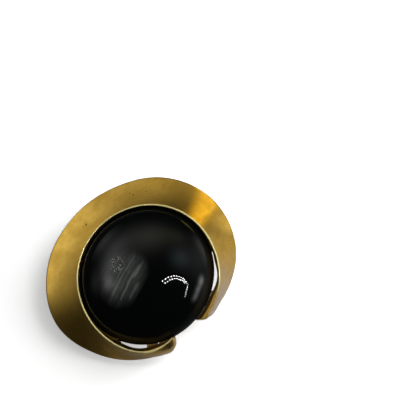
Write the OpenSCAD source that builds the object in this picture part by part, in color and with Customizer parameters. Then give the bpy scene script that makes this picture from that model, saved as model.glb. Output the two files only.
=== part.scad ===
// Clip-on earring: a domed black stone in an open, twisted brass collar, with a plain clip behind it.
// Millimetres, +Z up. The earring lies face up on the flat pad of its clip. The origin is on the
// stone's axis at the pad's underside, +Y points to the collar's wide side and -Y to its mouth.

/* [Stone] */
// Radius of the stone at its base
stone_r = 11.95; // [11.5:0.05:11.95]
// Height of the dome above the stone's flat base
stone_h = 5.6; // [4.5:0.1:6.4]

/* [Collar] */
// Height of the lip's bead above the stone's base
lip_h = 1.5; // [1.3:0.1:2]
// Radius of the rounded bead along the lip
bead_r = 0.16; // [0.1:0.01:0.25]
// Angle from the wide side to each end of the collar, where it touches the stone
end_angle = 169.5; // [165:0.5:171]
// Drop of the back edge below the stone's base, at the stone's axis
back_drop = 3.2; // [2.4:0.1:3.8]
// Slope of the back edge's plane, low at the mouth, in degrees
back_slope = 9.3; // [6:0.1:11]
// Hollow of the face, as a share of its width
face_hollow = 0.02; // [0:0.01:0.08]
// Thickness of the casting along its back edge
edge_wall = 0.6; // [0.5:0.05:0.8]
// Thickness of the casting behind its face
face_wall = 1.0; // [0.8:0.05:1.2]
// Degrees by which the back edge stops short of each end
end_skew = 14; // [8:1:18]
// Inner radius of the ledge that carries the stone on the wide side
ledge_r = 11.4; // [11.4:0.05:11.6]

/* [Back plate] */
// Radius of the plate under the stone
plate_r = 11.3; // [10.8:0.05:11.3]
// Thickness of the plate and of the collar's ledge
plate_t = 0.8; // [0.6:0.1:1]
// Direction of the plate's tab, from the wide side
tab_angle = 149; // [148:0.5:150]
// Width of the tab
tab_w = 1.8; // [1.4:0.1:1.9]

/* [Clip] */
// Width of the bent strip
strip_w = 5; // [4:0.5:6]
// Thickness of the bent strip
strip_t = 0.8; // [0.6:0.1:0.9]
// Space between the foot and the pad, for the ear lobe
jaw = 5.2; // [5:0.1:6]
// Distance from the stone's axis back to the centre of the bend
bend_y = 5; // [4.5:0.1:5.2]
// Length of the foot in front of the stone's axis
foot_l = 3; // [2:0.5:4]
// Radius of the pad's round ends
pad_r = 4.5; // [4:0.1:5]
// Length between the centres of the pad's round ends
pad_l = 4; // [3:0.5:5]
// Distance from the stone's axis forward to the pad's middle
pad_y = 1.6; // [1:0.1:2.5]
// Thickness of the pad
pad_t = 1; // [0.9:0.1:1.2]

/* [Hidden] */

// Small gap between separate pieces
gap = 0.05;

// Number of sides of the stone's and the plate's circles, and of the clip's smaller ones
WIDE_ROUND = 96;
SMALL_ROUND = 64;

// Height of the stone's base over the ground: plate, foot, jaw and pad, with two gaps
base_z = gap + plate_t + gap + strip_t + jaw + pad_t;

// The collar's plan, every 30 degrees round from the wide side, positive towards -X. A row holds the
// angle, the lip's radius and the back edge's radius.
STEP_ANGLE = 30;
FIRST_ANGLE = -195;
LIP = 1;
EDGE = 2;
COLLAR_PLAN = [
    [-195, 14.20, 10.5],
    [-165, 13.90, 11.4],
    [-135, 13.35, 13.4],
    [-105, 12.60, 15.7],
    [ -75, 12.15, 17.2],
    [ -45, 11.90, 17.6],
    [ -15, 11.80, 17.3],
    [  15, 11.80, 17.8],
    [  45, 11.85, 18.7],
    [  75, 11.85, 18.6],
    [ 105, 12.30, 16.0],
    [ 135, 13.25, 13.8],
    [ 165, 13.90, 12.2],
    [ 195, 14.20, 10.9]
];

// The two open slots between the stone and the inner wall. A row holds the angle of the middle, half
// the angle that the slot spans and its greatest width.
SLOTS = [
    [-132, 16.5, 0.42],
    [ 138, 22, 0.48]
];

// The collar's ends, first the one at negative angles. A row holds the bulge of the face before the
// end, as a share of its width; the share of end_skew by which the lip stops short of the end; the
// angle where the bead leaves the face's edge and curls in towards the stone, how far in it gets and
// the power by which it does so; the angle where the ledge under the stone is gone, and the angle from
// which it closes the slot again.
BULGE = 0;
LIP_LAG = 1;
CURL_START = 2;
CURL = 3;
CURL_POWER = 4;
LEDGE_GONE = 5;
LEDGE_BACK = 6;
ENDS = [
    [0.09, 0.38, 140, 0.2, 1, 114, 141.5],
    [0.10, 0.12, 146, 1.75, 1.6, 125, 154]
];

// Smooth curve through four even steps, at share t between the middle two
function smooth4(a, b, c, d, t) =
    b + 0.5 * t * (c - a + t * (2 * a - 5 * b + 4 * c - d + t * (3 * (b - c) + d - a)));

// One column of the plan at any angle
function plan(angle, column) =
    let (
        place = (angle - FIRST_ANGLE) / STEP_ANGLE,
        i = min(max(floor(place), 1), len(COLLAR_PLAN) - 3)
    )
    smooth4(
        COLLAR_PLAN[i - 1][column], COLLAR_PLAN[i][column],
        COLLAR_PLAN[i + 1][column], COLLAR_PLAN[i + 2][column], place - i);

// One column of the end that an angle is nearer to
function end_value(angle, column) = ENDS[angle < 0 ? 0 : 1][column];

// 0 below low, 1 above high, and a soft step between
function soft_step(low, high, x) =
    let (t = min(max((x - low) / (high - low), 0), 1)) t * t * (3 - 2 * t);

function mix(a, b, t) = a + (b - a) * t;
function unit(v) = v / norm(v);

// Radius of the inner wall where it meets the stone's base, wider at the slots
function slot_width(angle, slot) =
    abs(angle - slot[0]) < slot[1] ? slot[2] * pow(cos(90 * (angle - slot[0]) / slot[1]), 2) : 0;
function wall_radius(angle) = stone_r + 2 * gap + max([for (s = SLOTS) slot_width(angle, s)]);

// Places in a cross-section are [radius, height over the stone's base]
function lip_point(angle) = [plan(angle, LIP), lip_h];
function back_edge(angle) =
    let (r = plan(angle, EDGE)) [r, -back_drop + tan(back_slope) * r * cos(angle)];

// Radial distance by which the bead has left the face's edge
function curl(angle) =
    let (start = end_value(angle, CURL_START))
    end_value(angle, CURL)
        * pow(max(0, (abs(angle) - start) / (end_angle - start)), end_value(angle, CURL_POWER));

// Ledge round the wide side that carries the stone; it fades out where the open slots begin. Its upper
// part comes back at the ends, which close up against the stone.
LEDGE_FADE = 8;
LEDGE_FOOT_R = 13;
END_LEDGE_FADE = 2;
END_LEDGE_POINTS = 2;

// Share of the face's width over which the face follows the curl of the bead
CURL_REACH = 0.25;

// Rise of the middle of the inner wall near the ends, as a share of the distance it slopes across
WALL_SWELL = 0.32;
SWELL_START = 118;
SWELL_FULL = 150;

// Share of the face's width, from the bead, where the back of the wide side is thickest
THICK_AT = 0.6;
// How far the rounded nose of the back edge stands out
EDGE_NOSE = 0.12;

// From here on to the ends the face bulges instead of being hollow
BULGE_START = 110;
BULGE_FULL = 160;

// Places across the face, from just outside the bead to the edge, as shares of its width
FACE_SHARES = [0.06, 0.16, 0.3, 0.46, 0.62, 0.8, 1];
BACK_POINTS = 5;

// Closed cross-section of the collar at one angle: bead, inner wall, back, edge and face
function section(angle) =
    let (
        lip = lip_point(angle),
        edge = back_edge(angle),
        along = unit(edge - lip),
        inward = [along[1], -along[0]],
        width = norm(edge - lip),
        gone = end_value(angle, LEDGE_GONE),
        ledge = 1 - soft_step(gone - LEDGE_FADE, gone, abs(angle)),
        back_again = end_value(angle, LEDGE_BACK),
        end_ledge = soft_step(back_again, back_again + END_LEDGE_FADE, abs(angle)),
        near_end = soft_step(BULGE_START, BULGE_FULL, abs(angle)),
        hollow = mix(face_hollow, -end_value(angle, BULGE), near_end),
        inset = [curl(angle), 0],
        crown = lip - inset,
        face = [for (s = FACE_SHARES)
            mix(lip, edge, s) + inward * (bead_r + 4 * s * (1 - s) * hollow * width)
                - inset * pow(max(0, 1 - s / CURL_REACH), 2)],
        edge_back = edge + inward * (bead_r + edge_wall),
        wall = [wall_radius(angle), 0],
        bead_foot = crown - bead_r * along,
        swell = [0, WALL_SWELL * (bead_foot[0] - wall[0]) * soft_step(SWELL_START, SWELL_FULL, abs(angle))],
        behind = mix(lip, edge, THICK_AT) + inward * (bead_r + face_hollow * width + face_wall),
        ledge_path = [
            [ledge_r, -gap], [ledge_r, -gap - plate_t], [LEDGE_FOOT_R, -gap - plate_t],
            behind, mix(behind, edge_back, 0.5)],
        plain_path = [for (i = [1 : BACK_POINTS]) mix(wall, edge_back, i / (BACK_POINTS + 1))]
    )
    concat(
        [crown + bead_r * along, crown - bead_r * inward, bead_foot],
        [mix(bead_foot, wall, 0.5) + swell, wall],
        [for (i = [0 : BACK_POINTS - 1])
            mix(plain_path[i], ledge_path[i], i < END_LEDGE_POINTS ? max(ledge, end_ledge) : ledge)],
        [edge_back, edge + inward * (bead_r + edge_wall / 2) + EDGE_NOSE * along],
        [for (i = [len(face) - 1 : -1 : 0]) face[i]]
    );

// Both ends are cut aslant: each of a cross-section's points stops some degrees short of the end, as a
// share of end_skew. The inner wall's foot goes furthest and the back edge stops first.
BACK_ROUNDING = 1.6;
FACE_ROUNDING = 1.9;
function end_lags(lip_lag) =
    concat(
        [lip_lag, lip_lag, lip_lag],
        [lip_lag / 2, 0],
        [for (i = [1 : BACK_POINTS]) pow(i / (BACK_POINTS + 1), BACK_ROUNDING)],
        [1, 1],
        [for (i = [len(FACE_SHARES) - 1 : -1 : 0])
            mix(lip_lag, 1, pow(FACE_SHARES[i], FACE_ROUNDING))]
    );

// Angles of the cross-sections: even steps, shorter ones in the corner before each end, and close ones
// round the nose, at these angles before the end
CORNER_ANGLE = 26;
EVEN_STEPS = 70;
CORNER_STEPS = 10;
CORNER_STEP = 2;
NOSE_ANGLES = [4.3, 2.2, 0.6, 0];
function section_angles() =
    let (
        straight = end_angle - CORNER_ANGLE,
        corner = concat(
            [for (i = [1 : CORNER_STEPS]) straight + CORNER_STEP * i],
            [for (a = NOSE_ANGLES) end_angle - a])
    )
    concat(
        [for (i = [len(corner) - 1 : -1 : 0]) -corner[i]],
        [for (i = [0 : EVEN_STEPS]) mix(-straight, straight, i / EVEN_STEPS)],
        corner
    );

// A cross-section's point in space; the wide side lies along +Y
function in_space(p, angle) = [-p[0] * sin(angle), p[0] * cos(angle), p[1] + base_z];

// Over this length before an end, round its stone's side, the face draws in to a rounded nose, by up
// to this share of the way to the inner wall
NOSE_LENGTH = 1.3;
NOSE_SHARE = 0.5;
function draw_in(angle) =
    let (to_end = (end_angle - abs(angle)) * PI / 180 * stone_r)
    to_end < NOSE_LENGTH ? NOSE_SHARE * (1 - sqrt(1 - pow(1 - to_end / NOSE_LENGTH, 2))) : 0;

// A face point j of a cross-section lies opposite point FACING - j of its wall and back
FIRST_FACE_POINT = 12;
FACING = 22;

// One ring of the collar in space; in the corner before an end its points lag behind the angle
function ring(angle) =
    let (
        into_corner = max(0, abs(angle) - end_angle + CORNER_ANGLE) / CORNER_ANGLE,
        lags = end_lags(end_value(angle, LIP_LAG)),
        points = [for (j = [0 : len(lags) - 1])
            let (a = angle - sign(angle) * into_corner * end_skew * lags[j])
            in_space(section(a)[j], a)],
        share = draw_in(angle)
    )
    [for (j = [0 : len(points) - 1])
        let (p = points[j], q = j < FIRST_FACE_POINT ? p : points[FACING - j])
        [mix(p[0], q[0], share), mix(p[1], q[1], share), p[2]]];

// Pairs of a cross-section's points that face each other through the metal, from the bead down. The
// wall's foot has three partners, so that the end's face passes under the stone and not through it.
WALL_PAIRS = [
    [2, 1], [3, 0], [4, 18], [4, 17], [4, 16], [5, 16],
    [6, 16], [7, 15], [8, 14], [9, 13], [10, 12], [11, 11]
];

// Open casting, lofted ring by ring and closed with a strip of triangles at each end
module collar() {
    rings = [for (a = section_angles()) ring(a)];
    n = len(rings[0]);
    last = len(rings) - 1;
    sides = [for (i = [0 : last - 1], j = [0 : n - 1])
        let (k = (j + 1) % n)
        each [
            [i * n + j, (i + 1) * n + k, (i + 1) * n + j],
            [i * n + j, i * n + k, (i + 1) * n + k]
        ]];
    cap = [for (i = [0 : len(WALL_PAIRS) - 2])
        let (p = WALL_PAIRS[i], q = WALL_PAIRS[i + 1])
        each concat(
            p[0] == q[0] ? [] : [[p[0], p[1], q[0]]],
            p[1] == q[1] || q[0] == q[1] ? [] : [[p[1], q[1], q[0]]])];
    far_cap = [for (t = cap) [for (j = [2, 1, 0]) last * n + t[j]]];
    color("goldenrod")
        polyhedron(points = [for (r = rings) each r], faces = concat(sides, cap, far_cap));
}

// Domed cabochon with a flat base: half an oval turned about the axis. A power of 1 is an ellipse, and a
// greater one leans the dome's side in more.
DOME_STEPS = 26;
DOME_POWER = 1.3;
module stone() {
    profile = [for (i = [0 : DOME_STEPS])
        let (a = 90 * i / DOME_STEPS) [stone_r * cos(a), stone_h * pow(sin(a), DOME_POWER)]];
    color("black")
        translate([0, 0, base_z])
            rotate_extrude($fn = WIDE_ROUND)
                polygon(concat([[0, 0]], profile));
}

// Round plate that backs the stone, with one tab that bridges the open slot near the collar's end. The
// tab's end is cut aslant to follow the inner wall.
module back_plate() {
    half_turn = atan(tab_w / 2 / stone_r);
    near_end = wall_radius(tab_angle - half_turn) * cos(half_turn) - gap;
    far_end = wall_radius(tab_angle + half_turn) * cos(half_turn) - gap;
    color("darkgoldenrod")
        translate([0, 0, base_z - gap - plate_t]) {
            cylinder(r = plate_r, h = plate_t, $fn = WIDE_ROUND);
            rotate([0, 0, tab_angle])
                linear_extrude(plate_t)
                    polygon([[-tab_w / 2, 0], [tab_w / 2, 0], [tab_w / 2, near_end],
                        [-tab_w / 2, far_end]]);
        }
}

// Spring clip bent from one strip: foot, half-round bend and arm, with a pad for the lobe
module ear_clip() {
    foot_z = base_z - gap - plate_t - gap;
    bend_r = jaw / 2 + strip_t;
    bend_z = foot_z - bend_r;
    color("goldenrod") {
        translate([0, -bend_y, bend_z])
            rotate([90, 0, 90])
                translate([0, 0, -strip_w / 2])
                    linear_extrude(strip_w) {
                        difference() {
                            circle(r = bend_r, $fn = SMALL_ROUND);
                            circle(r = jaw / 2, $fn = SMALL_ROUND);
                            translate([0, -bend_r - 1])
                                square([bend_r + 1, 2 * bend_r + 2]);
                        }
                        translate([0, jaw / 2])
                            square([bend_y + foot_l, strip_t]);
                        translate([0, -bend_r])
                            square([bend_y + pad_y, strip_t]);
                    }
        translate([0, pad_y, 0]) {
            for (side = [-1, 1])
                translate([0, side * pad_l / 2, 0])
                    cylinder(r = pad_r, h = pad_t, $fn = SMALL_ROUND);
            translate([-pad_r, -pad_l / 2, 0])
                cube([2 * pad_r, pad_l, pad_t]);
        }
    }
}

collar();
stone();
back_plate();
ear_clip();
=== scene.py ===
import math

import bmesh
import bpy
import numpy as np
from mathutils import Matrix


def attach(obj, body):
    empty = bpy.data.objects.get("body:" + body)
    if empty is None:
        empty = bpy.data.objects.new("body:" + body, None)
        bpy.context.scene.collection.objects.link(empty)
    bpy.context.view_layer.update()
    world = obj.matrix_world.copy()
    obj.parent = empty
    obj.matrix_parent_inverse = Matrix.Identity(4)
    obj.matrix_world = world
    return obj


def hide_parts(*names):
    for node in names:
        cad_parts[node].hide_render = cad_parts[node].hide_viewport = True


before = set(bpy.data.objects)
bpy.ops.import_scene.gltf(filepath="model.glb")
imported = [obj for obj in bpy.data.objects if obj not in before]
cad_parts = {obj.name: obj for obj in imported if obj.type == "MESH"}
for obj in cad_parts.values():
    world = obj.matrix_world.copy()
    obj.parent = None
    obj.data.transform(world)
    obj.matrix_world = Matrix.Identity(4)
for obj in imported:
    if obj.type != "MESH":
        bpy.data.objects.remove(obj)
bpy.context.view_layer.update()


# Collar: one brass casting, bent round the stone like an open C. On its wide side it is a broad, slightly
# hollow brim; towards both ends it twists into an upright wall that flares away from the stone. A fine
# bead runs along its lip. Sizes are in millimetres, and heights count from the stone's base.
MM = 0.001
BASE_Z = 7.9
STONE_R = 11.95
GAP = 0.05
PLATE_T = 0.8
LIP_H = 1.5
BEAD_R = 0.16
END_ANGLE = 169.5  # from the middle of the wide side round to either end
BACK_DROP = 3.2
BACK_SLOPE = math.tan(math.radians(9.3))
FACE_HOLLOW = 0.02  # share of the face's width
EDGE_WALL = 0.6  # the metal's thickness at the outer edge, and how far that edge is rounded
EDGE_NOSE = 0.12
FACE_WALL = 1.0  # and its thickness at THICK_AT of the way from lip to edge
THICK_AT = 0.6
END_SKEW = 14.0  # the back edge runs this many degrees past the lip at an end
CORNER_ANGLE = 26.0  # and does so over this much of the collar
LEDGE_R = 11.4
LEDGE_FOOT_R = 13.0
LEDGE_GONE = (114.0, 125.0)  # where the ledge under the stone ends on each side
LEDGE_FADE = 8.0
END_LEDGE_FROM = (141.5, 154.0)  # and from where the ends close in below the stone again
END_LEDGE_FADE = 2.0
LEDGE_CORNERS = 2
BULGE_FADE = (110.0, 160.0)  # from hollow face to bulged face
BACK_ROUNDING = 1.6  # how the skew of an end runs from lip to edge, on the back and on the face
FACE_ROUNDING = 1.9
FIRST_ANGLE = -195.0  # the radii of lip and edge stand STEP_ANGLE apart
STEP_ANGLE = 30.0
LIP_RADII = (
    14.20, 13.90, 13.35, 12.60, 12.15, 11.90, 11.80,
    11.80, 11.85, 11.85, 12.30, 13.25, 13.90, 14.20)
EDGE_RADII = (
    10.5, 11.4, 13.4, 15.7, 17.2, 17.6, 17.3,
    17.8, 18.7, 18.6, 16.0, 13.8, 12.2, 10.9)
SLOTS = ((-132.0, 16.5, 0.42), (138.0, 22.0, 0.48))  # middle, half its angle, greatest width
ENDS = ((0.09, 0.38), (0.10, 0.12))  # bulge of the face, and the lip's share of the skew
CURLS = ((140.0, 0.2, 1.0), (146.0, 1.75, 1.6))  # where the bead leaves the edge, how far in, how soon
CURL_REACH = 0.25  # share of the face that follows the curl
NOSE_LENGTH = 1.3  # over this length before an end the face thins by NOSE_SHARE
NOSE_SHARE = 0.5
WALL_SWELL = 0.32  # bulge of the inner wall towards the ends
SWELL_FADE = (118.0, 150.0)

BEAD_STEPS = 7
WALL_STEPS = 8
BACK_STEPS = (2, 3, 4, 4, 4, 5)
NOSE_STEPS = 4
CHAIN = BEAD_STEPS + WALL_STEPS + sum(BACK_STEPS) + NOSE_STEPS
FACE_STEPS = CHAIN - BEAD_STEPS - NOSE_STEPS
BEAD_TURN = math.radians(130)
END_ROUND = 0.14  # radius of the ends' edges, drawn in towards the point ROUND_REACH along
ROUND_REACH = 4
END_TURNS = (0.0, 0.4, 0.75, 1.1, 1.4)
CORNER_RINGS = 40
PLAIN_RINGS = 321
FACE_FROM = 1.1  # bead radii


def smooth_between(values, angle):
    """The value at an angle, on a smooth curve through values that stand STEP_ANGLE apart."""
    place = (angle - FIRST_ANGLE) / STEP_ANGLE
    i = min(max(math.floor(place), 1), len(values) - 3)
    a, b, c, d = values[i - 1:i + 3]
    t = place - i
    return b + 0.5 * t * (c - a + t * (2 * a - 5 * b + 4 * c - d + t * (3 * (b - c) + d - a)))


def soft_step(low, high, x):
    t = min(max((x - low) / (high - low), 0.0), 1.0)
    return t * t * (3 - 2 * t)


def wall_radius(angle):
    """Radius of the wall round the stone, which the two slots widen."""
    widths = [
        width * math.cos(math.pi / 2 * (angle - middle) / half) ** 2
        for middle, half, width in SLOTS if abs(angle - middle) < half]
    return STONE_R + 2 * GAP + max(widths, default=0.0)


def cross_section(angle):
    """Two chains of (radius, height) from the bead's crown to the back edge: outside first, then inside."""
    lip = np.array([smooth_between(LIP_RADII, angle), LIP_H])
    edge_r = smooth_between(EDGE_RADII, angle)
    edge = np.array([edge_r, -BACK_DROP + BACK_SLOPE * edge_r * math.cos(math.radians(angle))])
    width = np.linalg.norm(edge - lip)
    along = (edge - lip) / width
    inward = np.array([along[1], -along[0]])
    side = 0 if angle < 0 else 1
    bulge = ENDS[side][0]
    start, reach, power = CURLS[side]
    curl = np.array([reach * max(0.0, (abs(angle) - start) / (END_ANGLE - start)) ** power, 0.0])
    crown = lip - curl
    hollow = FACE_HOLLOW - (FACE_HOLLOW + bulge) * soft_step(*BULGE_FADE, abs(angle))
    outside, inside = [], []
    for i in range(BEAD_STEPS + 1):
        turn = BEAD_TURN * i / BEAD_STEPS
        outside.append(crown + BEAD_R * (along * math.sin(turn) - inward * math.cos(turn)))
        turn = math.pi / 2 * i / BEAD_STEPS
        inside.append(crown - BEAD_R * (along * math.sin(turn) + inward * math.cos(turn)))
    for s in np.linspace(FACE_FROM * BEAD_R / width, 1.0, FACE_STEPS):
        follow = max(0.0, 1 - s / CURL_REACH) ** 2
        depth = BEAD_R + 4 * s * (1 - s) * hollow * width
        outside.append(lip + (edge - lip) * s + inward * depth - curl * follow)
    wall = np.array([wall_radius(angle), 0.0])
    bead_foot = inside[-1]
    slope = wall - bead_foot
    swell = np.array([0.0, -slope[0] * WALL_SWELL * soft_step(*SWELL_FADE, abs(angle))])
    for i in range(WALL_STEPS):
        t = (i + 1) / WALL_STEPS
        inside.append(bead_foot + slope * t + swell * 4 * t * (1 - t))
    edge_back = edge + inward * (BEAD_R + EDGE_WALL)
    behind = lip + (edge - lip) * THICK_AT + inward * (BEAD_R + FACE_HOLLOW * width + FACE_WALL)
    ledge = 1 - soft_step(LEDGE_GONE[side] - LEDGE_FADE, LEDGE_GONE[side], abs(angle))
    end_ledge = soft_step(END_LEDGE_FROM[side], END_LEDGE_FROM[side] + END_LEDGE_FADE, abs(angle))
    ledge_path = (
        np.array([LEDGE_R, -GAP]), np.array([LEDGE_R, -GAP - PLATE_T]),
        np.array([LEDGE_FOOT_R, -GAP - PLATE_T]), behind, (behind + edge_back) / 2)
    corners = [wall]
    for i, place in enumerate(ledge_path):
        plain = wall + (edge_back - wall) * (i + 1) / len(BACK_STEPS)
        share = max(ledge, end_ledge) if i < LEDGE_CORNERS else ledge
        corners.append(plain + (place - plain) * share)
    corners.append(edge_back)
    for steps, a, b in zip(BACK_STEPS, corners, corners[1:]):
        inside += [a + (b - a) * (i + 1) / steps for i in range(steps)]
    middle = edge + inward * (BEAD_R + EDGE_WALL / 2)
    for i in range(1, NOSE_STEPS + 1):
        turn = math.pi / 2 * i / NOSE_STEPS
        nose = middle + along * EDGE_NOSE * math.sin(turn)
        outside.append(nose - inward * EDGE_WALL / 2 * math.cos(turn))
        inside.append(nose + inward * EDGE_WALL / 2 * math.cos(turn))
    return outside, inside


def end_lags(lip_lag):
    """Shares of the skew by which each point of both chains stops short of the collar's end."""
    outside = [lip_lag] * (BEAD_STEPS + 1)
    outside += [
        lip_lag + (1 - lip_lag) * (i / (FACE_STEPS - 1)) ** FACE_ROUNDING for i in range(FACE_STEPS)]
    inside = [lip_lag] * (BEAD_STEPS + 1)
    inside += [lip_lag * (1 - (i + 1) / WALL_STEPS) for i in range(WALL_STEPS)]
    for k, steps in enumerate(BACK_STEPS):
        inside += [
            ((k + (i + 1) / steps) / len(BACK_STEPS)) ** BACK_ROUNDING for i in range(steps)]
    return np.array([outside + [1.0] * NOSE_STEPS, inside + [1.0] * NOSE_STEPS])


TABLE_STEP = 0.5
TABLE_START = -170.0
section_table = np.array([
    cross_section(TABLE_START + TABLE_STEP * i) for i in range(round(-2 * TABLE_START / TABLE_STEP) + 1)])
LAGS = [end_lags(lip_lag) for _, lip_lag in ENDS]


def collar_ring(angle):
    """Both chains in space; towards an end they lag behind, and at the end they draw in to round it."""
    corner = max(0.0, abs(angle) - END_ANGLE + CORNER_ANGLE) / CORNER_ANGLE
    angles = angle - math.copysign(corner * END_SKEW, angle) * LAGS[0 if angle < 0 else 1]
    place = (angles - TABLE_START) / TABLE_STEP
    below = np.clip(np.floor(place).astype(int), 0, len(section_table) - 2)
    share = (place - below)[..., None]
    side, step = np.indices(angles.shape)
    flat = section_table[below, side, step] * (1 - share) + section_table[below + 1, side, step] * share
    turn = np.radians(angles)
    radius, height = flat[..., 0], flat[..., 1]
    ring = np.stack([-radius * np.sin(turn), radius * np.cos(turn), height + BASE_Z], -1)
    to_end = math.radians(END_ANGLE - abs(angle)) * STONE_R
    if to_end < NOSE_LENGTH:
        draw_in = NOSE_SHARE * (1 - math.sqrt(1 - (1 - to_end / NOSE_LENGTH) ** 2))
        ring[0, BEAD_STEPS:, :2] += (ring[1, BEAD_STEPS:, :2] - ring[0, BEAD_STEPS:, :2]) * draw_in
    if to_end < END_ROUND:
        draw_in = END_ROUND - math.sqrt(END_ROUND ** 2 - (END_ROUND - to_end) ** 2)
        partner = ring[::-1].copy()
        partner[:, 0] = ring[:, ROUND_REACH].mean(0)
        partner[:, -1] = ring[:, -ROUND_REACH].mean(0)
        pull = partner - ring
        ring = ring + pull / np.linalg.norm(pull, axis=-1, keepdims=True) * draw_in
    return ring


def ring_angles():
    """Angles of the collar's rings, which stand closest where its ends are rounded."""
    straight = END_ANGLE - CORNER_ANGLE
    edge = [math.degrees(END_ROUND * (1 - math.cos(t)) / STONE_R) for t in END_TURNS]
    corner = [edge[-1] + (CORNER_ANGLE - edge[-1]) * i / CORNER_RINGS for i in range(1, CORNER_RINGS)]
    before_end = [END_ANGLE - a for a in edge + corner]
    plain = list(np.linspace(-straight, straight, PLAIN_RINGS))
    return [-a for a in before_end] + plain + before_end[::-1]


def add_piece(name, points, faces, sharp_above=32.0):
    """A closed mesh from points in millimetres, smooth but for edges that turn more than sharp_above."""
    mesh = bpy.data.meshes.new(name)
    mesh.from_pydata([[c * MM for c in p] for p in points], [], faces)
    shape = bmesh.new()
    shape.from_mesh(mesh)
    bmesh.ops.recalc_face_normals(shape, faces=shape.faces)
    for face in shape.faces:
        face.smooth = True
    for edge in shape.edges:
        edge.smooth = edge.calc_face_angle(0.0) < math.radians(sharp_above)
    shape.to_mesh(mesh)
    shape.free()
    piece = bpy.data.objects.new(name, mesh)
    bpy.context.scene.collection.objects.link(piece)
    return piece


angles = ring_angles()
points = []
for angle in angles:
    outside, inside = collar_ring(angle)
    points += [tuple(p) for p in inside] + [tuple(p) for p in outside[-2:0:-1]]
LOOP = 2 * CHAIN
faces = [
    (i * LOOP + j, (i + 1) * LOOP + j, (i + 1) * LOOP + (j + 1) % LOOP, i * LOOP + (j + 1) % LOOP)
    for i in range(len(angles) - 1) for j in range(LOOP)]
for start in (0, (len(angles) - 1) * LOOP):
    for step in range(CHAIN):
        cap = (step, step + 1, (LOOP - step - 1) % LOOP, (LOOP - step) % LOOP)
        faces.append(tuple(dict.fromkeys(start + i for i in cap)))
collar = add_piece("collar_casting", points, faces)

# The bead along the lip is buffed, and its brass is paler and half diffuse: a painted highlight along the
# lip.
bead_loops = set(range(BEAD_STEPS + 1)) | set(range(LOOP - BEAD_STEPS, LOOP))
for polygon in collar.data.polygons[:(len(angles) - 1) * LOOP]:
    if polygon.index % LOOP in bead_loops:
        polygon.material_index = 1


def new_group(name, inputs, outputs):
    """An empty shader group with its sockets; inputs and outputs are (name, kind, value) rows."""
    group = bpy.data.node_groups.new(name, "ShaderNodeTree")
    for socket, kind, value in inputs:
        made = group.interface.new_socket(socket, in_out="INPUT", socket_type=kind)
        made.default_value = value
    for socket, kind in outputs:
        group.interface.new_socket(socket, in_out="OUTPUT", socket_type=kind)
    return group, group.nodes.new("NodeGroupInput"), group.nodes.new("NodeGroupOutput")


def add_node(tree, kind, links=(), **values):
    """A node with its settings and its input links, given as (input name or number, output socket)."""
    node = tree.nodes.new(kind)
    for key, value in values.items():
        setattr(node, key, value)
    for socket, source in links:
        if hasattr(source, "is_output"):
            tree.links.new(source, node.inputs[socket])
        else:
            node.inputs[socket].default_value = source
    return node


def ramp(tree, source, low, high, low_out=0.0, high_out=1.0):
    """A soft step from low_out to high_out while source goes from low to high."""
    sockets = ("Value", "From Min", "From Max", "To Min", "To Max")
    links = zip(sockets, (source, low, high, low_out, high_out))
    return add_node(tree, "ShaderNodeMapRange", links, interpolation_type="SMOOTHSTEP").outputs["Result"]


def step_mm(tree, source, span, low_out=0.0, high_out=1.0):
    """The same soft step, over a span of millimetres."""
    return ramp(tree, source, span[0] * MM, span[1] * MM, low_out, high_out)


def noise(tree, place, scale, detail, roughness=0.55):
    node = add_node(
        tree, "ShaderNodeTexNoise",
        [("Vector", place), ("Scale", scale), ("Detail", detail), ("Roughness", roughness)])
    return node.outputs["Fac"]


def blend_colour(tree, share, first, second):
    node = add_node(tree, "ShaderNodeMix", data_type="RGBA")
    for socket, value in ((0, share), (6, first), (7, second)):
        if hasattr(value, "is_output"):
            tree.links.new(value, node.inputs[socket])
        else:
            node.inputs[socket].default_value = value
    return node.outputs[2]


def arithmetic(tree, operation, first, second=0.0, third=0.0):
    node = add_node(tree, "ShaderNodeMath", [(0, first), (1, second), (2, third)], operation=operation)
    return node.outputs[0]


def product(tree, first, *others):
    for other in others:
        first = arithmetic(tree, "MULTIPLY", first, other)
    return first


def distance(tree, place, spot):
    """How far a place is from a spot that is given in millimetres."""
    node = add_node(
        tree, "ShaderNodeVectorMath", [(0, place), (1, [c * MM for c in spot])], operation="DISTANCE")
    return node.outputs["Value"]


# Aged brass: a warm satin metal with cloudy brown tarnish, a fine grain from the finishing wheel, and
# a few small dark pits. The metal is darker towards the two ends, the crevice round the stone is painted
# dark as shade, and the outside of the ends is painted pale as a reflection of the white card. Places are
# in millimetres.
aged, aged_in, aged_out = new_group(
    "aged_brass",
    [("Clean", "NodeSocketColor", (0.83, 0.50, 0.085, 1)),
     ("Tarnish", "NodeSocketColor", (0.50, 0.27, 0.045, 1)),
     ("Tarnish Amount", "NodeSocketFloat", 0.5),
     ("Darker Ends", "NodeSocketFloat", 0.0),
     ("Crevice Shade", "NodeSocketFloat", 0.0),
     ("Floor Reflection Amount", "NodeSocketFloat", 0.0),
     ("Pit Amount", "NodeSocketFloat", 1.0),
     ("Satin", "NodeSocketFloat", 0.3)],
    [("Colour", "NodeSocketColor"), ("Roughness", "NodeSocketFloat"), ("Height", "NodeSocketFloat")])
# pale colour painted on the outside of the ends as a reflection of the white card
FLOOR_REFLECTION_PALE = (0.70, 0.62, 0.50, 1)
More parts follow.
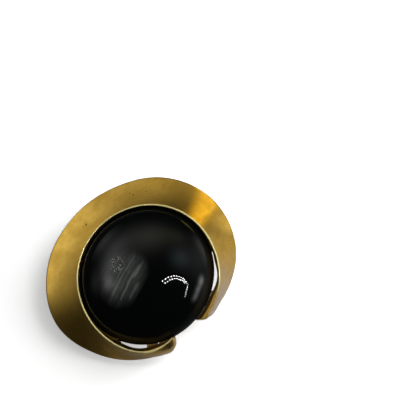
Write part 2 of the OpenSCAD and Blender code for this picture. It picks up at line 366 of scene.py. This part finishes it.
# dark of the pits, and also of the painted shade in the crevice round the stone
PIT_AND_SHADE_BLACK = (0.06, 0.03, 0.01, 1)
DARKER_Y = (-11.5, -8.5)  # the darker ends fade out over this span, and the left one has LEFT_DARKER of it
DARKER_X = (-2.0, 2.0)
FLOOR_REFLECTION_Y = (-14.0, -4.0)  # the painted reflection of the card on the outside fades out over this one, and stays below the bead
FLOOR_REFLECTION_Z = (8.5, 9.2)
FLOOR_REFLECTION_X = (-7.0, 4.0)
CREVICE_LEAN = 0.55  # the painted crevice shade is told by the distance from the axis plus this share of the height
CREVICE = (16.90, 17.04)
CREVICE_Y = (-6.0, -2.0)
LEFT_DARKER = 0.3
LEFT_FLOOR_REFLECTION = 0.15
PITTED_SPOTS = ((-3.2, 14.4, 8.0), (6.0, 12.8, 8.0), (8.9, 11.6, 7.8))
PITTED_R = 1.6
PITTED_CORE = 0.4  # share of that radius
CLOUD = (260.0, 4.0, 0.6)  # scale, detail and roughness of each noise
PATCH = (1100.0, 3.0, 0.6)
GRAIN = (6500.0, 2.0, 0.7)
PIT_NOISE = (2100.0, 1.0)
CLOUD_SHARE = 0.7
PATCH_SHARE = 0.3
TARNISHED = (0.36, 0.66)
PIT_SCALE = 2200.0
PITS_FROM = (0.42, 0.62)
PIT_SIZE = 0.30
PIT_SHADE = 0.8
PIT_ROUGH = 0.25
ROUGH_FROM = (0.35, 0.7)
ROUGH_SWING = (-0.03, 0.08)
GRAIN_HEIGHT = 0.04  # heights as shares of each brass's relief
CLOUD_HEIGHT = 1.5
place = add_node(aged, "ShaderNodeTexCoord").outputs["Object"]
axes = add_node(aged, "ShaderNodeSeparateXYZ", [("Vector", place)]).outputs
cloud = noise(aged, place, *CLOUD)
patch = noise(aged, place, *PATCH)
grain = noise(aged, place, *GRAIN)
cloudy = arithmetic(aged, "MULTIPLY_ADD", cloud, CLOUD_SHARE, product(aged, patch, PATCH_SHARE))
tarnished = product(aged, ramp(aged, cloudy, *TARNISHED), aged_in.outputs["Tarnish Amount"])
# The metal is darker towards the two ends.
darker_ends = product(
    aged, step_mm(aged, axes["Y"], DARKER_Y, 1.0, 0.0), step_mm(aged, axes["X"], DARKER_X, LEFT_DARKER, 1.0),
    aged_in.outputs["Darker Ends"])
tarnished = arithmetic(aged, "MAXIMUM", tarnished, darker_ends)
metal = blend_colour(aged, tarnished, aged_in.outputs["Clean"], aged_in.outputs["Tarnish"])
# Painted reflection: the outside of the ends is painted pale, as if the white card showed in it.
floor_reflection = product(
    aged, step_mm(aged, axes["Y"], FLOOR_REFLECTION_Y, 1.0, 0.0), step_mm(aged, axes["Z"], FLOOR_REFLECTION_Z, 1.0, 0.0),
    step_mm(aged, axes["X"], FLOOR_REFLECTION_X, LEFT_FLOOR_REFLECTION, 1.0), aged_in.outputs["Floor Reflection Amount"])
metal = blend_colour(aged, floor_reflection, metal, FLOOR_REFLECTION_PALE)
flat_place = add_node(aged, "ShaderNodeVectorMath", [(0, place), (1, (1, 1, 0))], operation="MULTIPLY")
from_axis = add_node(aged, "ShaderNodeVectorMath", [(0, flat_place.outputs[0])], operation="LENGTH")
out_and_up = arithmetic(aged, "MULTIPLY_ADD", axes["Z"], CREVICE_LEAN, from_axis.outputs["Value"])
# Painted shade: the crevice round the stone on the wide side is darkened.
crevice_shade = product(
    aged, step_mm(aged, out_and_up, CREVICE, 1.0, 0.0), step_mm(aged, axes["Y"], CREVICE_Y),
    aged_in.outputs["Crevice Shade"])
metal = blend_colour(aged, crevice_shade, metal, PIT_AND_SHADE_BLACK)
near_spot = None
for spot in PITTED_SPOTS:
    close = step_mm(aged, distance(aged, place, spot), (PITTED_CORE * PITTED_R, PITTED_R), 1.0, 0.0)
    near_spot = close if near_spot is None else arithmetic(aged, "MAXIMUM", near_spot, close)
cells = add_node(aged, "ShaderNodeTexVoronoi", [("Vector", place), ("Scale", PIT_SCALE)], feature="F1")
pit_size = product(
    aged, near_spot, ramp(aged, noise(aged, place, *PIT_NOISE), *PITS_FROM, 0.0, PIT_SIZE))
pit = product(
    aged, arithmetic(aged, "LESS_THAN", cells.outputs["Distance"], pit_size), aged_in.outputs["Pit Amount"])
pitted = blend_colour(aged, product(aged, pit, PIT_SHADE), metal, PIT_AND_SHADE_BLACK)
rough = arithmetic(aged, "ADD", aged_in.outputs["Satin"], ramp(aged, cloudy, *ROUGH_FROM, *ROUGH_SWING))
rough = arithmetic(aged, "MULTIPLY_ADD", pit, PIT_ROUGH, rough)
height = arithmetic(aged, "MULTIPLY_ADD", grain, GRAIN_HEIGHT, product(aged, cloud, CLOUD_HEIGHT))
height = arithmetic(aged, "SUBTRACT", height, pit)
for socket, value in (("Colour", pitted), ("Roughness", rough), ("Height", height)):
    aged.links.new(value, aged_out.inputs[socket])


def brass(name, colours, amounts, relief, metallic=1.0):
    """A brass from the aged group: clean and tarnished colours, amounts by input, relief in millimetres."""
    material = bpy.data.materials.new(name)
    material.use_nodes = True
    tree = material.node_tree
    shader = tree.nodes["Principled BSDF"]
    look = add_node(tree, "ShaderNodeGroup", node_tree=aged)
    look.inputs["Clean"].default_value, look.inputs["Tarnish"].default_value = colours
    for socket in ("Tarnish Amount", "Darker Ends", "Crevice Shade", "Floor Reflection Amount", "Pit Amount", "Satin"):
        look.inputs[socket].default_value = amounts.get(socket, 0.0)
    bump = add_node(tree, "ShaderNodeBump", [("Height", look.outputs["Height"]), ("Distance", relief * MM)])
    shader.inputs["Metallic"].default_value = metallic
    tree.links.new(look.outputs["Colour"], shader.inputs["Base Color"])
    tree.links.new(look.outputs["Roughness"], shader.inputs["Roughness"])
    tree.links.new(bump.outputs["Normal"], shader.inputs["Normal"])
    return material


# The satin casting carries the painted crevice shade and the painted reflection of the card on its ends.
collar.data.materials.append(brass(
    "satin_brass", ((0.84, 0.52, 0.10, 1), (0.60, 0.34, 0.05, 1)),
    {"Satin": 0.30, "Tarnish Amount": 0.6, "Darker Ends": 1.0, "Crevice Shade": 0.9, "Floor Reflection Amount": 0.8,
     "Pit Amount": 1.0}, relief=0.015))
# A painted highlight on the bead: a paler, half diffuse brass.
collar.data.materials.append(brass(
    "buffed_highlight_brass", ((1.0, 0.87, 0.38, 1), (0.24, 0.14, 0.04, 1)),
    {"Satin": 0.30, "Tarnish Amount": 0.08, "Darker Ends": 0.95, "Crevice Shade": 0.9},
    relief=0.005, metallic=0.5))
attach(collar, "root")
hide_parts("collar")


# Stone: a round cabochon, black and highly polished, with a low dome and a flat base. Its rim is eased
# under where it sits in the collar.
STONE_H = 5.6
DOME_POWER = 1.3
DOME_STEPS = 60
DOME_TO = 88.0  # degrees from the crown; below that the rim is eased
STONE_TURN_STEPS = 160
RIM = ((11.945, 0.05), (11.90, 0.02), (11.80, 0.0))  # radius and height


def turned(profile, steps):
    """Points and faces of a solid turned about the upright axis, from rows of radius and height."""
    points, faces = [(0.0, 0.0, profile[0][1])], []
    rows = profile[1:-1]
    for r, z in rows:
        points += [
            (r * math.cos(2 * math.pi * i / steps), r * math.sin(2 * math.pi * i / steps), z)
            for i in range(steps)]
    points.append((0.0, 0.0, profile[-1][1]))
    last = len(points) - 1
    for i in range(steps):
        k = (i + 1) % steps
        faces.append((0, 1 + i, 1 + k))
        for row in range(len(rows) - 1):
            a = 1 + row * steps
            faces.append((a + i, a + steps + i, a + steps + k, a + k))
        a = 1 + (len(rows) - 1) * steps
        faces.append((a + k, a + i, last))
    return points, faces


dome = [
    (STONE_R * math.sin(t), STONE_H * math.cos(t) ** DOME_POWER)
    for t in np.linspace(0, math.radians(DOME_TO), DOME_STEPS)]
profile = [(r, z + BASE_Z) for r, z in dome + list(RIM) + [(0.0, 0.0)]]
stone = add_piece("stone_cabochon", *turned(profile, STONE_TURN_STEPS))

# Worn polish: on one side of the dome wear has left a dull haze with a few long scratches and dust, and
# grime dulls its foot. The haze's grey colour is a painted reflection. The scratches all run the same way;
# millimetres count along and across them.
worn, worn_in, worn_out = new_group(
    "worn_polish_and_reflection",
    [("Scratch Slant", "NodeSocketFloat", 0.36), ("Haze", "NodeSocketFloat", 1.0)],
    [("Colour", "NodeSocketColor"), ("Roughness", "NodeSocketFloat")])
HAZE_MIDDLE = (-2.6, 1.2)  # along and across the scratches
HAZE_REACH = (5.6, 4.8)
HAZE_STOPS = (-2.9, -2.3)
HAZE_FADE = (0.1, 1.0)  # squares of the share of its reach
HAZE_ROUGH = 0.20
POLISHED_ROUGH = 0.015
SCRATCH_SLANT = 20.5
SCRATCHES = (  # place across, start and end along, width, strength
    (-0.25, -6.4, 1.2, 0.26, 0.50),
    (-0.50, -2.0, 2.0, 0.36, 0.55),
    (1.40, -6.4, 2.2, 0.28, 0.36),
    (2.00, -5.2, -0.6, 0.40, 0.28),
    (-1.80, -5.6, -1.4, 0.45, 0.36),
    (0.60, -5.0, -0.4, 0.30, 0.20),
    (4.20, -5.0, -0.8, 0.80, 0.12))
SCRATCH_FADE = 1.0
WANDER = 0.8  # how much the scratches swerve
WANDER_NOISE = (260.0, 2.0)  # scale and detail
LINES = (900.0, 4.0, 0.6)  # scale, detail and roughness of the fine lines
LINES_STRETCH = (0.09, 1.0, 0.3)
LINES_FROM = (0.46, 0.74)
LINES_STRENGTH = 0.28
SOFT_NOISE = (420.0, 2.0)
SOFT_FROM = (0.38, 0.62)
SOFT_HAZE = (0.12, 0.20)
CLEAN_BLACK = (0.0008, 0.0010, 0.0011, 1)
# grey of the haze, a painted reflection
HAZE_AND_REFLECTION_GREY = (0.115, 0.122, 0.115, 1)
DUST_GREY = (0.30, 0.30, 0.28, 1)
DUST_AT = (-2.1, 2.7, 13.2)
DUST_R = 2.0
DUST_CORE = 0.3  # share of that radius
SPECK_SCALE = 3400.0
SPECK_SIZE = 0.26
GRIME_Z = (9.0, 10.2)
GRIME_ROUGH = 0.4
STONE_SPECULAR = 0.30
place = add_node(worn, "ShaderNodeTexCoord").outputs["Object"]
turned_place = add_node(
    worn, "ShaderNodeVectorRotate", [("Vector", place), ("Angle", worn_in.outputs["Scratch Slant"])],
    rotation_type="Z_AXIS", invert=True)
axes = add_node(worn, "ShaderNodeSeparateXYZ", [("Vector", turned_place.outputs[0])])
along, across = axes.outputs["X"], axes.outputs["Y"]
away = [
    arithmetic(worn, "MULTIPLY_ADD", axis, 1 / (reach * MM), -middle / reach)
    for axis, middle, reach in zip((along, across), HAZE_MIDDLE, HAZE_REACH)]
squares = arithmetic(worn, "MULTIPLY_ADD", away[0], away[0], product(worn, away[1], away[1]))
near = product(worn, ramp(worn, squares, *HAZE_FADE, 1.0, 0.0), step_mm(worn, across, HAZE_STOPS))
swerve = noise(worn, place, *WANDER_NOISE)
wander = arithmetic(worn, "MULTIPLY_ADD", swerve, WANDER * MM, -WANDER / 2 * MM)
wandering = arithmetic(worn, "ADD", across, wander)
scored = None
for middle, start, end, width, strength in SCRATCHES:
    off = arithmetic(worn, "ABSOLUTE", arithmetic(worn, "SUBTRACT", wandering, middle * MM))
    length = product(
        worn, step_mm(worn, along, (start, start + SCRATCH_FADE)),
        step_mm(worn, along, (end - SCRATCH_FADE, end), 1.0, 0.0))
    scratch = product(worn, step_mm(worn, off, (0.0, width), strength, 0.0), length)
    scored = scratch if scored is None else arithmetic(worn, "MAXIMUM", scored, scratch)
stretched = add_node(
    worn, "ShaderNodeMapping", [("Vector", turned_place.outputs[0]), ("Scale", LINES_STRETCH)])
streak = ramp(worn, noise(worn, stretched.outputs[0], *LINES), *LINES_FROM)
fine_lines = arithmetic(worn, "MULTIPLY_ADD", streak, LINES_STRENGTH, scored)
soft = ramp(worn, noise(worn, place, *SOFT_NOISE), *SOFT_FROM, *SOFT_HAZE)
haze = product(worn, arithmetic(worn, "ADD", fine_lines, soft), near, worn_in.outputs["Haze"])
specks = add_node(worn, "ShaderNodeTexVoronoi", [("Vector", place), ("Scale", SPECK_SCALE)], feature="F1")
dust = product(
    worn, arithmetic(worn, "LESS_THAN", specks.outputs["Distance"], SPECK_SIZE),
    step_mm(worn, distance(worn, place, DUST_AT), (DUST_CORE * DUST_R, DUST_R), 1.0, 0.0))
# The haze's roughness is wear; its grey colour is a painted reflection.
haze_and_reflection = blend_colour(worn, haze, CLEAN_BLACK, HAZE_AND_REFLECTION_GREY)
dusty = blend_colour(worn, dust, haze_and_reflection, DUST_GREY)
glossy = arithmetic(worn, "MULTIPLY_ADD", haze, HAZE_ROUGH, POLISHED_ROUGH)
up = add_node(worn, "ShaderNodeSeparateXYZ", [("Vector", place)]).outputs["Z"]
glossy = arithmetic(worn, "MAXIMUM", glossy, step_mm(worn, up, GRIME_Z, GRIME_ROUGH, 0.0))
for socket, value in (("Colour", dusty), ("Roughness", glossy)):
    worn.links.new(value, worn_out.inputs[socket])

black = bpy.data.materials.new("polished_black")
black.use_nodes = True
tree = black.node_tree
shader = tree.nodes["Principled BSDF"]
look = add_node(tree, "ShaderNodeGroup", node_tree=worn)
look.inputs["Scratch Slant"].default_value = math.radians(SCRATCH_SLANT)
look.inputs["Haze"].default_value = 1.0
tree.links.new(look.outputs["Colour"], shader.inputs["Base Color"])
tree.links.new(look.outputs["Roughness"], shader.inputs["Roughness"])
shader.inputs["Specular IOR Level"].default_value = STONE_SPECULAR
stone.data.materials.append(black)
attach(stone, "root")
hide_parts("stone")


# Back plate: a round brass disc that backs the stone, with one narrow tab which bridges the open slot
# near the collar's lower end. It is cut from sheet, so its edges are only lightly broken.
PLATE_R = 11.3
TAB_ANGLE = 149.0  # degrees from the middle of the wide side
TAB_W = 1.8
PLATE_STEPS = 180
PLATE_BROKEN = 0.06


def band(start, count):
    """Faces between a ring of count points, which begins at start, and the ring that follows it."""
    return [
        (start + i, start + (i + 1) % count, start + count + (i + 1) % count, start + count + i)
        for i in range(count)]


def add_sheet(name, outline, low, high, broken):
    """A sheet cut to an outline that runs counter-clockwise, between two heights, with its edges broken."""
    count = len(outline)
    flat = np.array(outline)
    ahead = np.roll(flat, -1, 0) - flat
    ahead /= np.linalg.norm(ahead, axis=1, keepdims=True)
    bisector = ahead + np.roll(ahead, 1, 0)
    bisector /= np.linalg.norm(bisector, axis=1, keepdims=True)
    inner = flat + np.stack([-bisector[:, 1], bisector[:, 0]], 1) * broken
    points = []
    for ring, z in ((inner, low), (flat, low + broken), (flat, high - broken), (inner, high)):
        points += [(x, y, z) for x, y in ring]
    faces = [tuple(range(count - 1, -1, -1)), tuple(range(3 * count, 4 * count))]
    for row in range(3):
        faces += band(row * count, count)
    return add_piece(name, points, faces, sharp_above=25.0)


half_turn = math.degrees(math.atan(TAB_W / 2 / STONE_R))
tab_ends = [
    wall_radius(TAB_ANGLE + sign * half_turn) * math.cos(math.radians(half_turn)) - GAP
    for sign in (-1, 1)]
tab_root = math.degrees(math.asin(TAB_W / 2 / PLATE_R))
across = (-math.cos(math.radians(TAB_ANGLE)), -math.sin(math.radians(TAB_ANGLE)))
outward = (-math.sin(math.radians(TAB_ANGLE)), math.cos(math.radians(TAB_ANGLE)))
outline = []
for angle in np.linspace(TAB_ANGLE + tab_root, TAB_ANGLE - tab_root + 360, PLATE_STEPS):
    outline.append((-PLATE_R * math.sin(math.radians(angle)), PLATE_R * math.cos(math.radians(angle))))
for sign, reach in ((-1, tab_ends[0]), (1, tab_ends[1])):
    outline.append(tuple(outward[k] * reach + across[k] * sign * TAB_W / 2 for k in (0, 1)))
plate = add_sheet("back_plate_disc", outline, BASE_Z - GAP - PLATE_T, BASE_Z - GAP, PLATE_BROKEN)
plate.data.materials.append(brass(
    "dull_brass", ((0.60, 0.38, 0.10, 1), (0.30, 0.17, 0.05, 1)),
    {"Satin": 0.42, "Tarnish Amount": 0.9}, relief=0.02))
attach(plate, "root")
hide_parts("back_plate")


# Ear clip: one brass strip, bent round from a foot under the plate to an arm with a flat pad, which
# presses on the back of the ear lobe. Its edges are rounded so that it is smooth to the skin.
STRIP_W = 5.0
STRIP_T = 0.8
JAW = 5.2
BEND_Y = 5.0
FOOT_L = 3.0
PAD_R = 4.5
PAD_L = 4.0
PAD_Y = 1.6
PAD_T = 1.0
STRIP_ROUND = 0.18
STRIP_ROUND_STEPS = 4
BEND_STEPS = 48
FOOT_NOSE = ((0.55, 0.0), (0.85, 0.06), (1.0, 0.2), (1.0, 1.5))  # share of the section, and how far in
ARM_END = ((1.0, 1.2, 0.0), (0.9, 1.6, 0.04))  # the same, from the pad's tip, and how far down
PAD_STEPS = 96
PAD_ROUND = 0.3
PAD_ROUND_TURNS = (0, 30, 60, 90)
foot_z = BASE_Z - GAP - PLATE_T - GAP - STRIP_T / 2
mid_r = (JAW + STRIP_T) / 2
bend_z = foot_z - mid_r


def strip_section():
    """Rounded rectangle of the strip: rows of (across, out of the bend)."""
    rows = []
    for corner, (sx, sy) in enumerate(((1, 1), (-1, 1), (-1, -1), (1, -1))):
        for i in range(STRIP_ROUND_STEPS + 1):
            turn = math.radians(90 * corner + 90 * i / STRIP_ROUND_STEPS)
            rows.append((
                sx * (STRIP_W / 2 - STRIP_ROUND) + STRIP_ROUND * math.cos(turn),
                sy * (STRIP_T / 2 - STRIP_ROUND) + STRIP_ROUND * math.sin(turn)))
    return rows


# Stations along the strip: place on the middle line, its outward direction and a share of the section.
stations = []
for draw, reach in FOOT_NOSE:
    stations.append(((FOOT_L - reach, foot_z), (0.0, 1.0), draw))
for i in range(BEND_STEPS + 1):
    turn = math.pi * i / BEND_STEPS
    out = (-math.sin(turn), math.cos(turn))
    stations.append(((-BEND_Y + mid_r * out[0], bend_z + mid_r * out[1]), out, 1.0))
for draw, reach, sink in ARM_END:
    stations.append(((PAD_Y - PAD_L / 2 - PAD_R + reach, bend_z - mid_r - sink), (0.0, -1.0), draw))
section = strip_section()
points, faces = [], []
for (y, z), out, draw in stations:
    for wide, thick in section:
        points.append((
            wide - math.copysign((1 - draw) * STRIP_ROUND, wide),
            y + out[0] * thick * draw, z + out[1] * thick * draw))
count = len(section)
for i in range(len(stations) - 1):
    faces += band(i * count, count)
faces.append(tuple(range(count)))
faces.append(tuple(range((len(stations) - 1) * count, len(stations) * count)))

# The pad: a flat plate with round ends and a rounded rim, with the arm run into it.
pad_outline = []
for i in range(PAD_STEPS):
    turn = 2 * math.pi * (i + 0.5) / PAD_STEPS
    y = PAD_L / 2 if math.sin(turn) > 0 else -PAD_L / 2
    pad_outline.append(np.array((PAD_R * math.cos(turn), PAD_Y + y + PAD_R * math.sin(turn))))
levels = []
for turn in (math.radians(t) for t in PAD_ROUND_TURNS):
    levels.append((PAD_ROUND - PAD_ROUND * math.sin(turn), PAD_ROUND * (1 - math.cos(turn))))
levels += [(inset, PAD_T - z) for inset, z in levels[::-1]]
start = len(points)
for inset, z in levels:
    for spot in pad_outline:
        middle = np.array([0.0, PAD_Y + min(max(spot[1] - PAD_Y, -PAD_L / 2), PAD_L / 2)])
        away = spot - middle
        points.append((*(middle + away * (1 - inset / np.linalg.norm(away))), z))
for row in range(len(levels) - 1):
    faces += band(start + row * PAD_STEPS, PAD_STEPS)
faces.append(tuple(range(start, start + PAD_STEPS)))
faces.append(tuple(range(start + (len(levels) - 1) * PAD_STEPS, start + len(levels) * PAD_STEPS)))
clip = add_piece("ear_clip_strip", points, faces, sharp_above=30.0)
clip.data.materials.append(brass(
    "clip_brass", ((0.80, 0.55, 0.17, 1), (0.50, 0.31, 0.08, 1)),
    {"Satin": 0.34, "Tarnish Amount": 0.6}, relief=0.01))
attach(clip, "root")
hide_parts("ear_clip")


# Floor: plain white card that the earring lies on. It is bright to the eye, but the brass and the stone
# mirror only a pool of light on it, which lies to their right.
FLOOR_SIZE = 4.0
CARD_WHITE = (0.85, 0.85, 0.85, 1)
CARD_ROUGHNESS = 0.9
POOL_MIRRORED = (0.54, 0.54, 0.54, 1)
DIM_MIRRORED = (0.04, 0.04, 0.04, 1)
POOL_AT = (23.0, -9.0, 0.0)  # millimetres
POOL_FADE = (12.0, 56.0)
POOL_GLOW = 0.72
DIM_GLOW = 0.34
floor_mesh = bpy.data.meshes.new("floor")
half = FLOOR_SIZE / 2
corners = [(-half, -half, 0), (half, -half, 0), (half, half, 0), (-half, half, 0)]
floor_mesh.from_pydata(corners, [], [(0, 1, 2, 3)])
floor = bpy.data.objects.new("floor", floor_mesh)
bpy.context.scene.collection.objects.link(floor)
white = bpy.data.materials.new("white_card")
white.use_nodes = True
tree = white.node_tree
shader = tree.nodes["Principled BSDF"]
shader.inputs["Roughness"].default_value = CARD_ROUGHNESS
shader.inputs["Specular IOR Level"].default_value = 0.0
shader.inputs["Emission Color"].default_value = (1, 1, 1, 1)
path_kind = add_node(tree, "ShaderNodeLightPath")
place = add_node(tree, "ShaderNodeTexCoord").outputs["Object"]
pool = step_mm(tree, distance(tree, place, POOL_AT), POOL_FADE, 1.0, 0.0)
mirrored = blend_colour(tree, pool, DIM_MIRRORED, POOL_MIRRORED)
colour = blend_colour(tree, path_kind.outputs["Is Glossy Ray"], CARD_WHITE, mirrored)
tree.links.new(colour, shader.inputs["Base Color"])
glow = arithmetic(tree, "MULTIPLY_ADD", pool, POOL_GLOW - DIM_GLOW, DIM_GLOW)
glow = product(tree, path_kind.outputs["Is Camera Ray"], glow)
tree.links.new(glow, shader.inputs["Emission Strength"])
floor.data.materials.append(white)


# Light: soft glows all round from windows, walls and warm lamps, each given by its direction, its width,
# its strength and its tint. A direction is an azimuth from the wide side towards +X, and a height over
# the horizon, both in degrees.
NEUTRAL = (1.0, 1.03, 1.0)
WARM = (1.0, 0.97, 0.75)
COOL = (0.75, 1.0, 1.05)
GLOWS = (  # azimuth, height, width, strength, tint
    (309, 41, 7, 2.10, NEUTRAL),
    (327, 40, 13, 0.95, NEUTRAL),
    (345, 33, 12, 0.62, NEUTRAL),
    (5, 40, 18, 0.40, NEUTRAL),
    (32, 42, 16, 0.56, WARM),
    (60, 34, 12, 0.28, WARM),
    (84, 10, 10, 0.50, WARM),
    (97, 2, 14, 1.20, NEUTRAL),
    (100, 30, 20, 0.40, NEUTRAL),
    (86, 52, 11, 0.60, COOL),
    (128, 24, 5.5, 5.40, NEUTRAL),
    (139, 27, 5, 3.60, NEUTRAL),
    (149, 27, 5, 2.60, NEUTRAL),
    (345, 10, 10, 0.42, NEUTRAL),
    (312, 20, 9, 0.22, NEUTRAL))
AMBIENT = 0.02
DIFFUSE_SHARE = 0.4  # of the glows that lights the card, since the soft box below does most of that


def towards(azimuth, elevation):
    a, e = math.radians(azimuth), math.radians(elevation)
    return math.sin(a) * math.cos(e), math.cos(a) * math.cos(e), math.sin(e)


world = bpy.data.worlds.new("studio")
bpy.context.scene.world = world
world.use_nodes = True
tree = world.node_tree
tree.nodes.clear()
direction = add_node(tree, "ShaderNodeTexCoord").outputs["Generated"]
total = add_node(tree, "ShaderNodeCombineXYZ", [(axis, AMBIENT) for axis in "XYZ"]).outputs[0]
for azimuth, elevation, width, strength, tint in GLOWS:
    facing = add_node(
        tree, "ShaderNodeVectorMath", [(0, direction), (1, towards(azimuth, elevation))],
        operation="DOT_PRODUCT")
    fall = 1 / (1 - math.cos(math.radians(width)))
    near = arithmetic(tree, "MULTIPLY_ADD", facing.outputs["Value"], fall, -fall)
    fading = arithmetic(tree, "EXPONENT", near)
    colour = [strength * c for c in tint]
    glow = add_node(tree, "ShaderNodeVectorMath", [(0, colour), ("Scale", fading)], operation="SCALE")
    total = add_node(
        tree, "ShaderNodeVectorMath", [(0, total), (1, glow.outputs[0])], operation="ADD").outputs[0]
path_kind = add_node(tree, "ShaderNodeLightPath")
share = arithmetic(tree, "MULTIPLY_ADD", path_kind.outputs["Is Diffuse Ray"], DIFFUSE_SHARE - 1, 1.0)
sky = add_node(tree, "ShaderNodeBackground", [("Color", total), ("Strength", share)])
backdrop = add_node(tree, "ShaderNodeBackground", [("Strength", 1.0)])
both = add_node(
    tree, "ShaderNodeMixShader",
    [(0, path_kind.outputs["Is Camera Ray"]), (1, sky.outputs[0]), (2, backdrop.outputs[0])])
add_node(tree, "ShaderNodeOutputWorld", [("Surface", both.outputs[0])])

# Card light: a big soft box on the right that lights the card, so that the shadow falls to the left.
CARD_LIGHT_AT = (106.0, 44.0)
CARD_LIGHT_AWAY = 0.6  # metres
CARD_LIGHT_SIZE = 0.36
CARD_LIGHT_W = 2.6
card_lamp = bpy.data.lights.new("card_light", "AREA")
card_lamp.shape = "DISK"
card_lamp.size = CARD_LIGHT_SIZE
card_lamp.energy = CARD_LIGHT_W
card_light = bpy.data.objects.new("card_light", card_lamp)
card_light.location = [CARD_LIGHT_AWAY * v for v in towards(*CARD_LIGHT_AT)]
a, e = (math.radians(v) for v in CARD_LIGHT_AT)
card_light.rotation_euler = (math.pi / 2 - e, 0.0, math.pi - a)
card_light.visible_glossy = False
bpy.context.scene.collection.objects.link(card_light)

# Amber lamp: a small warm light that stands close by on the right and shows in the brim there.
AMBER_AT = (25.6, 9.4, 8.6)  # millimetres
AMBER_FACES = (15.3, 3.9, 6.4)
AMBER_SIZE = (9.0, 2.9)
AMBER_W = 0.00016
AMBER_COLOUR = (1.0, 0.80, 0.12)
amber_lamp = bpy.data.lights.new("amber_light", "AREA")
amber_lamp.shape = "ELLIPSE"
amber_lamp.size, amber_lamp.size_y = (s * MM for s in AMBER_SIZE)
amber_lamp.energy = AMBER_W
amber_lamp.color = AMBER_COLOUR
amber_light = bpy.data.objects.new("amber_light", amber_lamp)
amber_light.location = [c * MM for c in AMBER_AT]
x, y, z = (there - here for there, here in zip(AMBER_FACES, AMBER_AT))
lean = math.pi / 2 + math.atan2(z, math.hypot(x, y))
amber_light.rotation_euler = (lean, 0.0, math.atan2(y, x) - math.pi / 2)
amber_light.visible_camera = False
amber_light.visible_diffuse = False
bpy.context.scene.collection.objects.link(amber_light)

# Beaded lamp: a curved double row of small bulbs beside the lens, which shows in the stone. Its sizes are
# in millimetres.
LAMP_Z = 200.0
LAMP_PATH = ((25, -28), (51, -30), (81, -44), (112, -82), (124, -129), (99, -155), (78, -182))
LAMP_MIDDLE = (50.0, -120.0)
LAMP_ROWS = ((1.0, 18), (0.86, 11))  # size and number of bulbs of each row
BULB_PITCH = 13.0
BULB_R = 0.9
BULB_W = 0.024


def along_path(path, pitch):
    """Spots at an even pitch along a path of corners."""
    corners = [np.array(p, float) for p in path]
    lengths = [np.linalg.norm(b - a) for a, b in zip(corners, corners[1:])]
    for i in range(int(sum(lengths) / pitch) + 1):
        left = i * pitch
        for a, b, length in zip(corners, corners[1:], lengths):
            if left <= length:
                yield a + (b - a) * left / length
                break
            left -= length


middle = np.array(LAMP_MIDDLE)
for row, (size, bulbs) in enumerate(LAMP_ROWS):
    for i, spot in enumerate(list(along_path(LAMP_PATH, BULB_PITCH))[:bulbs]):
        spot = middle + (spot - middle) * size
        lamp = bpy.data.lights.new(f"bulb_{row}_{i}", "POINT")
        lamp.energy = BULB_W
        lamp.shadow_soft_size = BULB_R * MM
        bulb = bpy.data.objects.new(f"bulb_{row}_{i}", lamp)
        bulb.location = (spot[0] * MM, spot[1] * MM, LAMP_Z * MM)
        bpy.context.scene.collection.objects.link(bulb)

# Camera: a long lens that looks down on the earring from the mouth's side, a little to the right.
LENS = 138.7
SENSOR_WIDTH = 36.0
CAMERA_AT = (0.02939, -0.09492, 0.24900)  # metres
CAMERA_TURN = (15.97, 16.23, -36.05)
camera = bpy.data.objects.new("camera", bpy.data.cameras.new("camera"))
camera.data.lens = LENS
camera.data.sensor_width = SENSOR_WIDTH
camera.location = CAMERA_AT
camera.rotation_euler = [math.radians(angle) for angle in CAMERA_TURN]
bpy.context.scene.collection.objects.link(camera)
bpy.context.scene.camera = camera
bpy.context.scene.view_settings.view_transform = "Standard"
